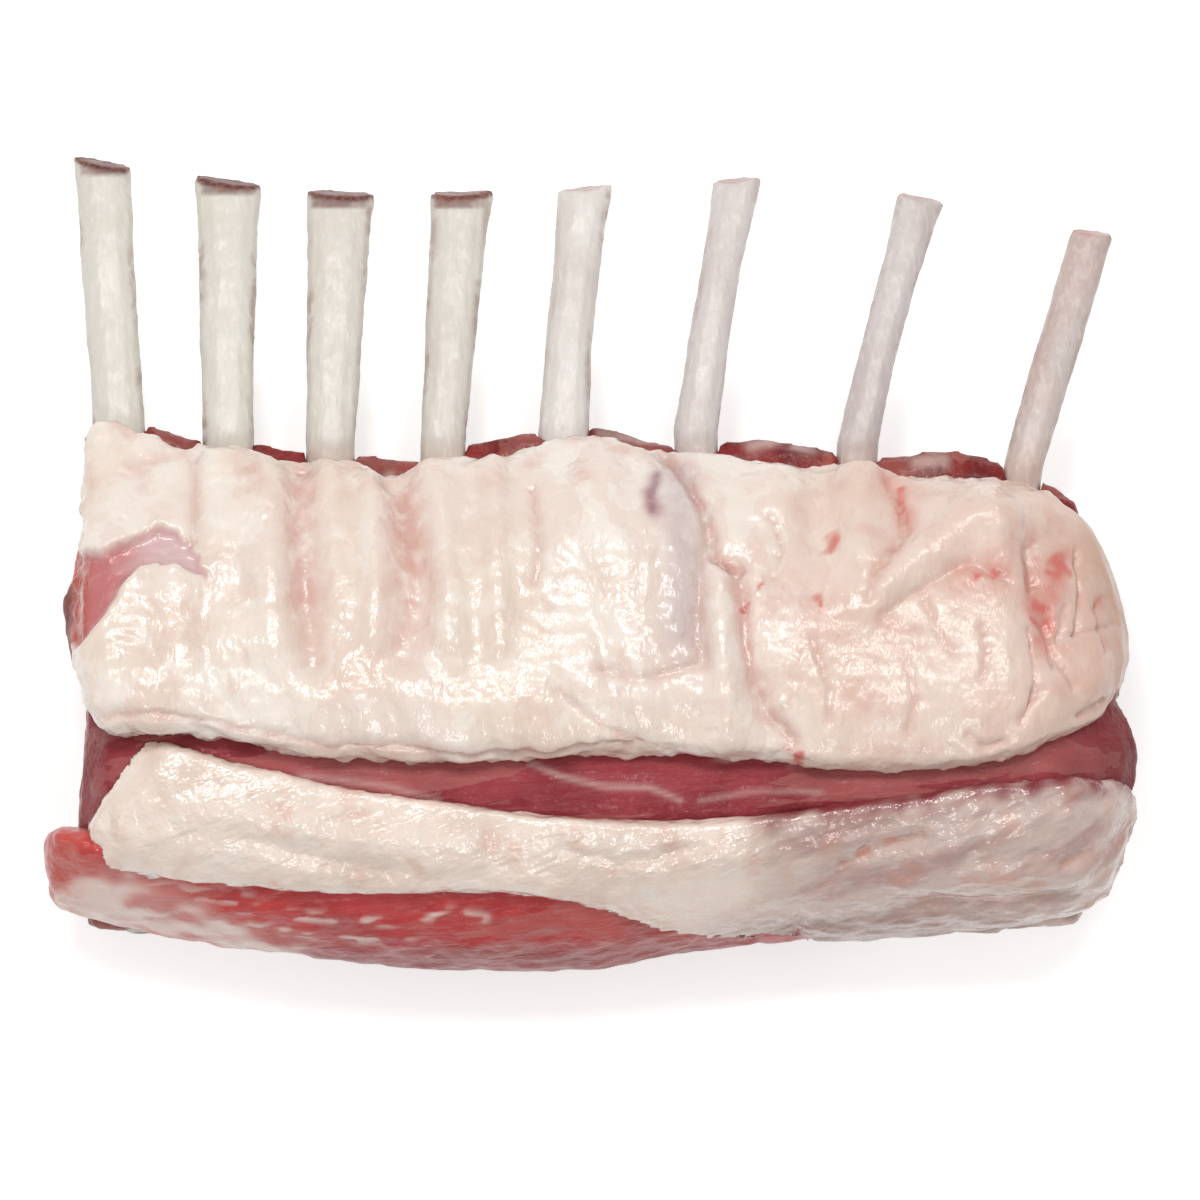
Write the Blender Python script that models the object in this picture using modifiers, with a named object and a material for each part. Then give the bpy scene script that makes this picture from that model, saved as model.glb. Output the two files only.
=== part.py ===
"""Raw frenched rack of lamb: eight ribs, the meat they carry and the fat over it.

The rack lies on its rib side, fat side up. X runs along the rack, +Y points to the bared
rib tips and +Z is up. The origin is at the bottom centre of the bounding box. The chine
side, where the backbone was sawn off, rests at low Y on a flat strip of meat, and the ribs
arch over a shallow hollow and come down again at their tips.

Every soft piece fills the space between an upper and a lower height field, has rounded
edges, and stands a thin clearance off the pieces under it.
"""

import math

import bmesh
import bpy
import numpy as np

MM = 0.001

# Driving dimensions, in millimetres.
RIB_TIP_THICKNESS = 7.4  # through the rib, at right angles to its width
RIB_CHINE_HEIGHT = 7.0  # rib centreline above the table where it was sawn off
CHINE_CUT_Y = -69.6  # sawn face of the rib meat
ARCH_HEIGHT = 18.5  # rib centreline above the table at its highest
ARCH_CREST_Y = -5.0
RIB_MEAT_BELOW = 2.4  # meat under the rib centreline, so that the ribs stand out below
RIB_MEAT_ABOVE = 4.8  # meat over the rib centreline
BASE_EDGE_Y = -59.0  # the flat strip that the chine side rests on ends here
BASE_BLEND = 11.0  # run over which the underside rises from that strip
BASE_DROP = 0.3  # the strip lies this much lower than the rib tips
CLEARANCE = 0.35  # gap between neighbouring pieces
RIB_SIDES = 10
RIB_RINGS = 10

# Each rib: chine end X, X and Y where it leaves the meat, bend X halfway up the bare
# stretch, tip X and Y, widths at the meat, halfway and tip, and the slant of the sawn tip.
RIBS = (
    (-84.0, -90.8, 28.0, -92.6, -94.0, 76.2, 10.0, 10.1, 10.6, -0.9),
    (-63.5, -70.0, 24.0, -70.2, -70.2, 72.6, 9.6, 10.6, 12.3, -0.8),
    (-43.0, -50.6, 21.5, -49.9, -48.8, 70.4, 9.3, 10.9, 12.5, -0.3),
    (-21.5, -29.4, 20.2, -27.8, -25.8, 70.4, 8.7, 9.9, 11.4, 0.2),
    (1.0, -6.6, 26.2, -4.9, -2.5, 71.2, 9.6, 8.8, 9.8, 0.4),
    (24.5, 18.5, 23.4, 22.0, 26.3, 72.8, 8.4, 7.6, 8.7, 0.3),
    (48.5, 48.9, 20.6, 54.4, 61.2, 69.4, 8.0, 7.2, 8.3, -0.9),
    (72.0, 80.6, 19.2, 87.3, 93.8, 62.9, 7.6, 8.6, 7.4, -0.5),
)

COLOURS = {
    "bone": ((0.78, 0.75, 0.68), 0.45),
    "fat": ((0.83, 0.72, 0.62), 0.35),
    "muscle": ((0.30, 0.07, 0.07), 0.35),
    "silverskin": ((0.68, 0.52, 0.47), 0.3),
}


def through(*points):
    """A smooth curve through (place, value) points that never overshoots them."""
    place, value = np.array(points, float).T
    step = np.diff(place)
    slope = np.diff(value) / step
    lean = np.concatenate(([slope[0]], np.zeros(len(slope) - 1), [slope[-1]]))
    same_way = slope[1:] * slope[:-1] > 0
    harmonic = 2 * slope[1:] * slope[:-1] / np.where(same_way, slope[1:] + slope[:-1], 1)
    lean[1:-1] = np.where(same_way, harmonic, 0)

    def curve(at):
        at = min(max(at, place[0]), place[-1])
        i = min(int(np.searchsorted(place, at, side="right")) - 1, len(step) - 1)
        t = (at - place[i]) / step[i]
        from_value = value[i] * (1 + 2 * t) * (1 - t) ** 2 + value[i + 1] * t * t * (3 - 2 * t)
        from_lean = step[i] * (lean[i] * t * (1 - t) ** 2 - lean[i + 1] * t * t * (1 - t))
        return float(from_value + from_lean)

    return curve


def ease(low, high, at):
    """0 below low, 1 above high, and smooth between them."""
    t = min(max((at - low) / (high - low), 0.0), 1.0)
    return t * t * (3 - 2 * t)


def arch(y):
    """Height of the rib centrelines: a low arch from the chine cut to the tips."""
    if y < ARCH_CREST_Y:
        share = (ARCH_CREST_Y - y) / (ARCH_CREST_Y - CHINE_CUT_Y)
        return ARCH_HEIGHT - (ARCH_HEIGHT - RIB_CHINE_HEIGHT) * share**2
    tip_y = 76.0
    share = (y - ARCH_CREST_Y) / (tip_y - ARCH_CREST_Y)
    return ARCH_HEIGHT - (ARCH_HEIGHT - RIB_TIP_THICKNESS / 2) * share**2


# Outline of the rib meat and of the fat on the side of the bared ribs. Both edges run from
# rib to rib, with a notch in most gaps where the knife took more out.
MEAT_EDGE = through(
    (-97, 28), (-88, 29.5), (-85.8, 31.6), (-84.2, 28), (-81.5, 26), (-78, 24.4), (-74, 24.2),
    (-65, 25.4), (-63, 22.8), (-60, 22.4), (-57, 21.8), (-54, 22), (-46, 22), (-43, 20.6),
    (-38, 20), (-33, 20.6), (-25, 23.8), (-18, 24.2), (-11, 26.8), (-1, 26.8), (6, 25.6),
    (14, 22.8), (22, 23.4), (27, 23.4), (34, 25.4), (40, 24.4), (45, 20.4), (54, 20.2),
    (60, 21.6), (66, 23), (74, 21.4), (80, 20), (84, 15.8), (91, 13.6), (98, 9),
)
FAT_EDGE = through(
    (-97, 28), (-86, 27), (-83.5, 24), (-78, 20.4), (-75, 23.2), (-65, 22.4), (-62, 19.6),
    (-58, 18.8), (-55, 20.8), (-46, 21), (-42.5, 16.6), (-38, 14.4), (-36, 19.4), (-33, 20),
    (-25, 21), (-20, 18.4), (-16, 21.2), (-13, 19), (-10, 25.4), (-2, 26), (2, 23.4),
    (6, 22), (13, 19.6), (16, 22), (22, 22.2), (26, 21), (32.5, 17.6), (36, 20.6),
    (40.5, 17), (45, 19.6), (54, 18), (62, 16), (74, 15.2), (77, 17.4), (82, 16), (84, 13.4),
    (90, 10.4), (95, 8.5), (101, 4),
)
# Lower edge of the fat cap, where it ends in a lip over the bare strip of the eye.
LIP_EDGE = through(
    (-101, -30), (-97, -32), (-90, -34.4), (-84.5, -31.4), (-75, -32.2), (-65, -34.4),
    (-55, -36.4), (-41, -37), (-19, -37.2), (0, -36), (28, -36.4), (37, -38), (51, -39.6),
    (68, -39), (77, -37.4), (86, -33.4), (92, -30.4), (101, -27.6),
)
# Upper and lower edge of the back fat, and the silhouette of the chine side.
BACK_TOP_EDGE = through(
    (-100, -30), (-84, -31), (-75, -34.6), (-60, -38.6), (-45, -42), (-30, -43.8),
    (-18, -46), (4, -48), (30, -47.2), (45, -44.4), (62, -42), (80, -39.6), (101, -40),
)
BACK_LOW_EDGE = through(
    (-100, -57.5), (-92, -61.5), (-80, -61.5), (-60, -62.8), (-38, -63.8), (-22, -62.4),
    (-6, -64), (4, -67.4), (12, -72.4), (19, -74.2), (38, -71.4), (51, -71.9), (66, -69.6),
    (84, -68.2), (97, -65),
)
CHINE_EDGE = through(
    (-104, -64.5), (-94, -67.4), (-72, -72), (-49, -74.8), (-26, -76.6), (4, -76), (19, -74.6),
    (40, -71),
)


def inward(x, y):
    """The Y that a point would have if the chine side were straight."""
    return y - (CHINE_EDGE(x) + 76) * (1 - ease(-62, -42, y))


def collection(name):
    """A named group for pieces."""
    made = bpy.data.collections.new(name)
    bpy.context.scene.collection.children.link(made)
    return made


def material(name):
    """The colour and sheen of one kind of tissue."""
    colour, roughness = COLOURS[name]
    made = bpy.data.materials.get(name) or bpy.data.materials.new(name)
    made.use_nodes = True
    shader = made.node_tree.nodes["Principled BSDF"]
    shader.inputs["Base Color"].default_value = (*colour, 1)
    shader.inputs["Roughness"].default_value = roughness
    shader.inputs["Metallic"].default_value = 0
    return made


def evenly(count):
    """Shares from 0 to 1 in equal steps."""
    return [i / count for i in range(count + 1)]


def rib_stations(low_x, high_x):
    """Shares of a length at the sides of each rib and in the middle of each gap."""
    sides = []
    for _, base_x, _, _, _, _, base_w, *_ in RIBS:
        sides += [base_x - base_w / 2 - 1, base_x + base_w / 2 + 1]
    middles = [(a + b) / 2 for a, b in zip(sides[1::2], sides[2::2])]
    inner = [(x - low_x) / (high_x - low_x) for x in sides + middles]
    return [0.0] + sorted(u for u in inner if 0.015 < u < 0.985) + [1.0]


def slab(name, along, across, left, right, low, high, top, bottom, tissue, holder):
    """A closed cage between two height fields, with its edges rounded.

    along and across list the cage's columns and rows as shares of its length and depth.
    left and right give the end's X from v, 0 at the low edge to 1 at the high one, and from
    whether the point is on top. low and high give the edge's Y from X. top and bottom give
    the height from x, y and v.
    """
    cage = bmesh.new()
    columns, rows = len(along) - 1, len(across) - 1

    def sheet(height, on_top):
        grid = []
        for u in along:
            line = []
            for v in across:
                x = left(v, on_top) * (1 - u) + right(v, on_top) * u
                y = low(x) * (1 - v) + high(x) * v
                line.append(cage.verts.new((x * MM, y * MM, height(x, y, v) * MM)))
            grid.append(line)
        return grid

    upper, lower = sheet(top, True), sheet(bottom, False)
    for i in range(columns):
        for j in range(rows):
            cage.faces.new(
                (upper[i][j], upper[i + 1][j], upper[i + 1][j + 1], upper[i][j + 1])
            )
            cage.faces.new(
                (lower[i][j], lower[i][j + 1], lower[i + 1][j + 1], lower[i + 1][j])
            )
    rim = [(i, 0) for i in range(columns)] + [(columns, j) for j in range(rows)]
    rim += [(i, rows) for i in range(columns, 0, -1)] + [(0, j) for j in range(rows, 0, -1)]
    for (a, b), (c, d) in zip(rim, rim[1:] + rim[:1]):
        cage.faces.new((lower[a][b], lower[c][d], upper[c][d], upper[a][b]))
    mesh = bpy.data.meshes.new(name)
    cage.to_mesh(mesh)
    cage.free()
    made = bpy.data.objects.new(name, mesh)
    holder.objects.link(made)
    rounding = made.modifiers.new("rounding", "SUBSURF")
    rounding.levels = rounding.render_levels = 1
    mesh.materials.append(material(tissue))
    mesh.shade_smooth()
    return made


def rib(number, row, holder):
    """One rib, as rings swept from its sawn chine end to its sawn tip."""
    chine_x, base_x, base_y, bend_x, tip_x, tip_y, base_w, bend_w, tip_w, slant = row
    bend_y = (base_y + tip_y) / 2
    start_y = CHINE_CUT_Y - 0.2
    side = through(
        (start_y, chine_x), (base_y, base_x), (bend_y, bend_x), (tip_y, tip_x)
    )
    width = through(
        (start_y, base_w + 1.5), (base_y, base_w), (bend_y, bend_w), (tip_y, tip_w)
    )
    drop = arch(tip_y) - RIB_TIP_THICKNESS / 2
    body = bmesh.new()
    rings = []
    for i in range(RIB_RINGS):
        t = i / (RIB_RINGS - 1)
        y = start_y + (tip_y - start_y) * t
        # The bare stretch comes down to the table however short the rib is.
        z = arch(y) - drop * ease(base_y, tip_y, y)
        half_w = width(y) / 2
        half_t = RIB_TIP_THICKNESS / 2
        ring = []
        for k in range(RIB_SIDES):
            turn = 2 * math.pi * k / RIB_SIDES
            across = half_w * math.copysign(abs(math.cos(turn)) ** 0.85, math.cos(turn))
            lift = half_t * math.sin(turn)
            last = i == RIB_RINGS - 1
            # The saw leaves the tip slanted across, and undercut so that it shows from above.
            y_cut = (slant * across / half_w - 0.16 * lift) if last else 0.0
            ring.append(
                body.verts.new(((side(y) + across) * MM, (y + y_cut) * MM, (z + lift) * MM))
            )
        rings.append(ring)
    for first, second in zip(rings, rings[1:]):
        for k in range(RIB_SIDES):
            n = (k + 1) % RIB_SIDES
            body.faces.new((first[k], second[k], second[n], first[n]))
    body.faces.new(rings[0])
    body.faces.new(rings[-1][::-1])
    bmesh.ops.recalc_face_normals(body, faces=body.faces)
    mesh = bpy.data.meshes.new(f"rib_{number}")
    body.to_mesh(mesh)
    body.free()
    made = bpy.data.objects.new(f"rib_{number}", mesh)
    holder.objects.link(made)
    mesh.materials.append(material("bone"))
    mesh.shade_smooth()
    mesh.set_sharp_from_angle(angle=math.radians(50))
    return made


def swollen(piece, cutters):
    """A copy of a piece grown by the clearance, to cut its neighbours with."""
    made = piece.copy()
    made.name = f"{piece.name}_cutter"
    made.data = piece.data.copy()
    cutters.objects.link(made)
    growth = made.modifiers.new("growth", "DISPLACE")
    growth.strength = CLEARANCE * MM
    growth.mid_level = 0
    made.hide_render = True
    made.display_type = "WIRE"
    return made


def cut(piece, cutter):
    """Cuts one piece back from another."""
    step = piece.modifiers.new(f"clear_of_{cutter.name}", "BOOLEAN")
    step.operation = "DIFFERENCE"
    step.object = cutter


def make_rib_meat(holder):
    """The wall of meat between the ribs, from the chine cut to the bared bones."""

    def floor(x, y, v):
        flat = 1 - ease(BASE_EDGE_Y, BASE_EDGE_Y + BASE_BLEND, y)
        return (arch(y) - RIB_MEAT_BELOW) * (1 - flat) - BASE_DROP * flat

    return slab(
        "rib_meat",
        rib_stations(-97.6, 95),
        (0, 0.025, 0.075, 0.115, 0.22, 0.5, 0.84, 1),
        left=lambda v, on_top: -97.6 + 1.4 * v,
        right=lambda v, on_top: 95.0 - 3.0 * abs(2 * v - 1),
        low=lambda x: CHINE_CUT_Y + 1.0 * ease(60, 95, x),
        high=MEAT_EDGE,
        top=lambda x, y, v: arch(y) + RIB_MEAT_ABOVE - 1.0 * ease(0.8, 1, v),
        bottom=floor,
        tissue="muscle",
        holder=holder,
    )


def make_eye(holder):
    """The eye of the loin, a long round muscle over the chine end of the ribs."""
    crown = through(
        (-76, 19), (-68, 26), (-62, 33.5), (-54, 40.6), (-43, 43.6), (-36, 43), (-30, 40.5),
        (-24, 36), (-14, 29.5), (-4, 24.5),
    )
    left_top = through((0, -97), (0.4, -95.5), (0.62, -91.5), (0.8, -94), (1, -97))
    left_low = through((0, -101.5), (0.4, -101.4), (0.7, -100.4), (1, -98.5))
    right_top = through((0, 94), (0.35, 99.5), (0.52, 103.5), (0.66, 101), (0.8, 96), (1, 92))
    right_low = through((0, 96), (0.35, 101.5), (0.52, 105.5), (0.66, 102.5), (0.8, 96), (1, 92))
    return slab(
        "loin_eye",
        evenly(12),
        (0, 0.1, 0.3, 0.52, 0.76, 1),
        left=lambda v, on_top: left_top(v) if on_top else left_low(v),
        right=lambda v, on_top: right_top(v) if on_top else right_low(v),
        low=through((-99, -66), (-60, -69.6), (0, -71), (60, -68.5), (103, -61)),
        high=through((-99, -8), (0, -4), (103, -12)),
        top=lambda x, y, v: (crown(inward(x, y)) - 7) * (1 - 0.42 * ease(90, 104, x)) + 7,
        bottom=lambda x, y, v: arch(y) + 4.3,
        tissue="muscle",
        holder=holder,
    )


def make_chine_muscle(holder):
    """The narrow muscle along the chine side, bare over the left half of the rack."""
    crown = through((-77, 18), (-74, 25), (-70, 30.5), (-66, 34.5), (-60, 38.5), (-50, 41.5))
    under = through((0, 13.5), (0.2, 12.5), (1, 16))
    return slab(
        "chine_muscle",
        evenly(10),
        (0, 0.25, 0.7, 1),
        left=lambda v, on_top: -104.4 - 1.2 * math.sin(math.pi * v),
        right=lambda v, on_top: 44 - 4 * v,
        low=lambda x: CHINE_EDGE(x) - 0.5,
        high=through((-105, -48), (-80, -53), (-60, -56), (44, -59)),
        top=lambda x, y, v: crown(inward(x, y)) - 3 * ease(10, 44, x),
        bottom=lambda x, y, v: under(v),
        tissue="muscle",
        holder=holder,
    )


def make_cap_muscle(holder):
    """The thin muscle between the ribs and the fat cap, which shows at the left end."""
    profile = through((0, 41), (0.3, 39.5), (0.6, 35), (0.85, 29), (1, 25.5))
    left = through((0, -97), (0.2, -100.4), (0.4, -104), (0.56, -102), (0.7, -98.8), (1, -97.2))
    return slab(
        "cap_muscle",
        evenly(8),
        (0, 0.2, 0.5, 0.8, 1),
        left=lambda v, on_top: left(v),
        right=lambda v, on_top: 92.5,
        low=lambda x: -27.0,
        high=through((-102, 12), (0, 12), (94, 5)),
        top=lambda x, y, v: max(profile(v) - 8 * ease(55, 93, x) * (1 - v), arch(y) + 6.5),
        bottom=lambda x, y, v: arch(y) + 4.3,
        tissue="muscle",
        holder=holder,
    )


def make_fat_cap(holder):
    """The fat over the ribs, from a lip above the eye up to the bared bones."""
    profile = through(
        (-40, 46), (-36, 48), (-30, 48.8), (-22, 49), (-14, 47.6), (-6, 44.8), (2, 41),
        (10, 35.6), (17, 30.4), (22, 26.8), (28, 24),
    )
    left = through(
        (0, -93), (0.1, -98.4), (0.25, -100.6), (0.4, -99.6), (0.55, -98.4), (0.8, -97.8),
        (1, -97),
    )
    right = through((0, 96.5), (0.12, 99.6), (0.3, 102.6), (0.6, 100.8), (0.85, 97.6), (1, 92.5))

    def under(x, y, v):
        wrap = ease(92, 97, x)
        return max(arch(y) + 4.0, profile(y) - 17) * (1 - wrap) + 10.0 * wrap

    return slab(
        "fat_cap",
        rib_stations(-98, 100),
        (0, 0.08, 0.3, 0.6, 0.88, 1),
        left=lambda v, on_top: left(v),
        right=lambda v, on_top: right(v) - (0 if on_top else 1.5),
        low=LIP_EDGE,
        high=FAT_EDGE,
        top=lambda x, y, v: 8 + (profile(y) - 8) * (1 - 0.45 * ease(80, 101, x) ** 1.6),
        bottom=under,
        tissue="fat",
        holder=holder,
    )


def make_back_fat(holder):
    """The band of fat and silverskin over the eye, down to the chine side."""
    crown = through(
        (-77, 15), (-74, 24.5), (-70, 32), (-65, 37.6), (-57, 42.6), (-49, 44.8), (-40, 44.3),
        (-33, 43.6),
    )
    left = through((0, -98.6), (0.3, -98.4), (0.6, -94.2), (0.85, -89.5), (1, -86))
    right = through((0, 96), (0.3, 98.6), (0.6, 102.2), (0.85, 103.4), (1, 99))

    def under(x, y, v):
        return 15 + 12 * v - 2.5 * ease(10, 24, x) * (1 - v)

    return slab(
        "back_fat",
        evenly(14),
        (0, 0.2, 0.55, 0.88, 1),
        left=lambda v, on_top: left(v),
        right=lambda v, on_top: right(v),
        low=BACK_LOW_EDGE,
        high=BACK_TOP_EDGE,
        top=lambda x, y, v: 10
        + (crown(inward(x, y)) - 10) * (1 - 0.42 * ease(84, 104, x) ** 1.6),
        bottom=under,
        tissue="silverskin",
        holder=holder,
    )


def settle(pieces):
    """Puts the bottom centre of the whole rack's bounding box at the origin."""
    bpy.context.view_layer.update()
    graph = bpy.context.evaluated_depsgraph_get()
    corners = []
    for piece in pieces:
        shape = piece.evaluated_get(graph).to_mesh()
        spots = np.empty(len(shape.vertices) * 3)
        shape.vertices.foreach_get("co", spots)
        corners += [spots.reshape(-1, 3).min(0), spots.reshape(-1, 3).max(0)]
    low, high = np.min(corners, 0), np.max(corners, 0)
    shift = np.array([-(low[0] + high[0]) / 2, -(low[1] + high[1]) / 2, -low[2]])
    for item in bpy.data.objects:
        item.location = shift


def main():
    for old in list(bpy.data.objects):
        bpy.data.objects.remove(old)
    rack, cutters = collection("rack_of_lamb"), collection("cutters")
    ribs = [rib(i + 1, row, rack) for i, row in enumerate(RIBS)]
    rib_meat = make_rib_meat(rack)
    eye = make_eye(rack)
    chine_muscle = make_chine_muscle(rack)
    cap_muscle = make_cap_muscle(rack)
    fat_cap = make_fat_cap(rack)
    back_fat = make_back_fat(rack)

    rib_cutters = [swollen(piece, cutters) for piece in ribs]
    order = [rib_meat, eye, chine_muscle, cap_muscle, fat_cap, back_fat]
    soft_cutters = [swollen(piece, cutters) for piece in order]
    for place, piece in enumerate(order):
        for cutter in soft_cutters[:place]:
            cut(piece, cutter)
        if piece in (rib_meat, fat_cap):
            for cutter in rib_cutters:
                cut(piece, cutter)
    settle(ribs + order)


main()
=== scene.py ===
"""Looks for the raw rack of lamb.

Every soft CAD node is replaced by a finer skin of the same shape: a voxel remesh of the
node, shaped further by ridges, creases and lobes, and carrying masks that its procedural
material reads. Shapes are written in millimetres in the frame's own axes.
"""

import math

import bpy
import numpy as np
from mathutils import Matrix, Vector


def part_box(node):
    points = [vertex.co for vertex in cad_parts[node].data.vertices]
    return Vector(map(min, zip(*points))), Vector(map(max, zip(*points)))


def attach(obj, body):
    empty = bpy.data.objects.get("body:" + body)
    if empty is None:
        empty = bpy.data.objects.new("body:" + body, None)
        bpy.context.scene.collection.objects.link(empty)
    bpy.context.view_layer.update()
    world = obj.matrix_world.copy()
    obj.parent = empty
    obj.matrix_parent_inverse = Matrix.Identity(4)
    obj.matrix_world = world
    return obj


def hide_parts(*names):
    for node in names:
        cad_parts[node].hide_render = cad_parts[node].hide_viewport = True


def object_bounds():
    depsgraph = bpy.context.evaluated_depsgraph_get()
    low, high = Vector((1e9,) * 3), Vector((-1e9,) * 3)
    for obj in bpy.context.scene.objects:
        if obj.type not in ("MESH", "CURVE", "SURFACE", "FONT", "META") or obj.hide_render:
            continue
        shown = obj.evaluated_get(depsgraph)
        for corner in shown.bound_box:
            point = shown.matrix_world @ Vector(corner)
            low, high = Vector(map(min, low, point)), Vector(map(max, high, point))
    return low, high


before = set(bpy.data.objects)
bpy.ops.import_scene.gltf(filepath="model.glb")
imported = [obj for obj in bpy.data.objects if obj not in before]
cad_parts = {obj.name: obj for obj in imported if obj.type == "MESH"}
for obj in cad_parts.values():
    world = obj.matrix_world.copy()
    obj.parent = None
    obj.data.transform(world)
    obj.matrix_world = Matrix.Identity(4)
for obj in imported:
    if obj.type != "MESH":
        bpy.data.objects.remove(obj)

MM = 0.001
cad_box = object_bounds()


# --- shape tools ---------------------------------------------------------------------


def smooth(low, high, value):
    """0 below low, 1 above high, smooth between them."""
    t = np.clip((value - low) / (high - low), 0, 1)
    return t * t * (3 - 2 * t)


def from_path(spots, path):
    """Distance of each spot from a broken line, in the plane, in millimetres."""
    best = np.full(len(spots), 1e9)
    path = np.asarray(path, float)
    if len(path) == 1:
        return np.linalg.norm(spots - path[0], axis=1)
    for start, end in zip(path[:-1], path[1:]):
        run = end - start
        share = np.clip(((spots - start) @ run) / (run @ run), 0, 1)
        best = np.minimum(best, np.linalg.norm(spots - start - share[:, None] * run, axis=1))
    return best


def stroke(spots, width, path):
    """A soft stroke along a path: 1 on it, fading out over width."""
    return np.exp(-((from_path(spots, path) / width) ** 2))


def crease(spots, width, path):
    """A sharp groove along a path: 1 at the bottom, falling off quickly to both sides."""
    return np.exp(-from_path(spots, path) / width)


def dots(spots, marks):
    """Soft round marks (x, y, radius), as one mask."""
    mask = np.zeros(len(spots))
    for x, y, radius in marks:
        far = np.linalg.norm(spots - (x, y), axis=1)
        mask = np.maximum(mask, 1 - smooth(radius * 0.55, radius * 1.25, far))
    return mask


def within(spots, corners, soft):
    """1 inside a closed outline, 0 outside, fading over a soft width."""
    corners = np.asarray(corners, float)
    inside = np.zeros(len(spots), bool)
    for (x0, y0), (x1, y1) in zip(corners, np.roll(corners, -1, 0)):
        if y0 != y1:
            spans = (spots[:, 1] > min(y0, y1)) & (spots[:, 1] <= max(y0, y1))
            reach = x0 + (spots[:, 1] - y0) / (y1 - y0) * (x1 - x0)
            inside ^= spans & (spots[:, 0] < reach)
    border = from_path(spots, np.vstack([corners, corners[:1]]))
    return smooth(-soft, soft, np.where(inside, border, -border))


def waves(spots, length, seed, stretch=(1, 1, 1)):
    """Smooth seeded noise of about one bump per length, between -1 and 1."""
    chance = np.random.default_rng(seed)
    place = spots / (length * np.asarray(stretch, float))
    total = np.zeros(len(spots))
    for _ in range(9):
        way = chance.normal(size=3)
        way *= chance.uniform(0.55, 1.45) / np.linalg.norm(way)
        bend = 0.8 * np.sin(place @ chance.normal(size=3) * 0.6 + chance.uniform(0, 6.3))
        total += np.sin(2 * math.pi * (place @ way) + bend * 2 + chance.uniform(0, 6.3))
    return total / 4.2


def skin(node, voxel, grow, passes):
    """A finer skin of a CAD node, as (object, points in millimetres, normals)."""
    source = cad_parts[node]
    made = bpy.data.objects.new(f"{node}_skin", source.data.copy())
    bpy.context.scene.collection.objects.link(made)
    swell = made.modifiers.new("swell", "DISPLACE")
    swell.strength = grow * MM
    swell.mid_level = 0
    remesh = made.modifiers.new("remesh", "REMESH")
    remesh.mode = "VOXEL"
    remesh.voxel_size = voxel * MM
    even = made.modifiers.new("even", "SMOOTH")
    even.factor = 0.5
    even.iterations = passes
    graph = bpy.context.evaluated_depsgraph_get()
    mesh = bpy.data.meshes.new_from_object(made.evaluated_get(graph))
    made.modifiers.clear()
    made.data = mesh
    mesh.name = made.name
    mesh.materials.clear()
    mesh.shade_smooth()
    spots = np.empty(len(mesh.vertices) * 3)
    mesh.vertices.foreach_get("co", spots)
    facing = np.empty(len(mesh.vertices) * 3)
    mesh.vertex_normals.foreach_get("vector", facing)
    return made, spots.reshape(-1, 3) / MM, facing.reshape(-1, 3)


def finish_skin(piece, spots, node, masks, surface):
    """Puts the shaped points back, stores the masks and ties the piece to the frame."""
    mesh = piece.data
    mesh.vertices.foreach_set("co", (spots * MM).ravel())
    mesh.update()
    for name, values in masks.items():
        layer = mesh.attributes.new(name, "FLOAT", "POINT")
        layer.data.foreach_set("value", np.clip(values, 0, 1).astype(np.float32))
    mesh.materials.append(surface)
    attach(piece, "root")
    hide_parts(node)


# --- material tools ------------------------------------------------------------------


def colour(red, green, blue):
    """A colour written as 0 to 255 on screen."""

    def linear(level):
        level /= 255
        return level / 12.92 if level <= 0.04045 else ((level + 0.055) / 1.055) ** 2.4

    return (linear(red), linear(green), linear(blue), 1)


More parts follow.
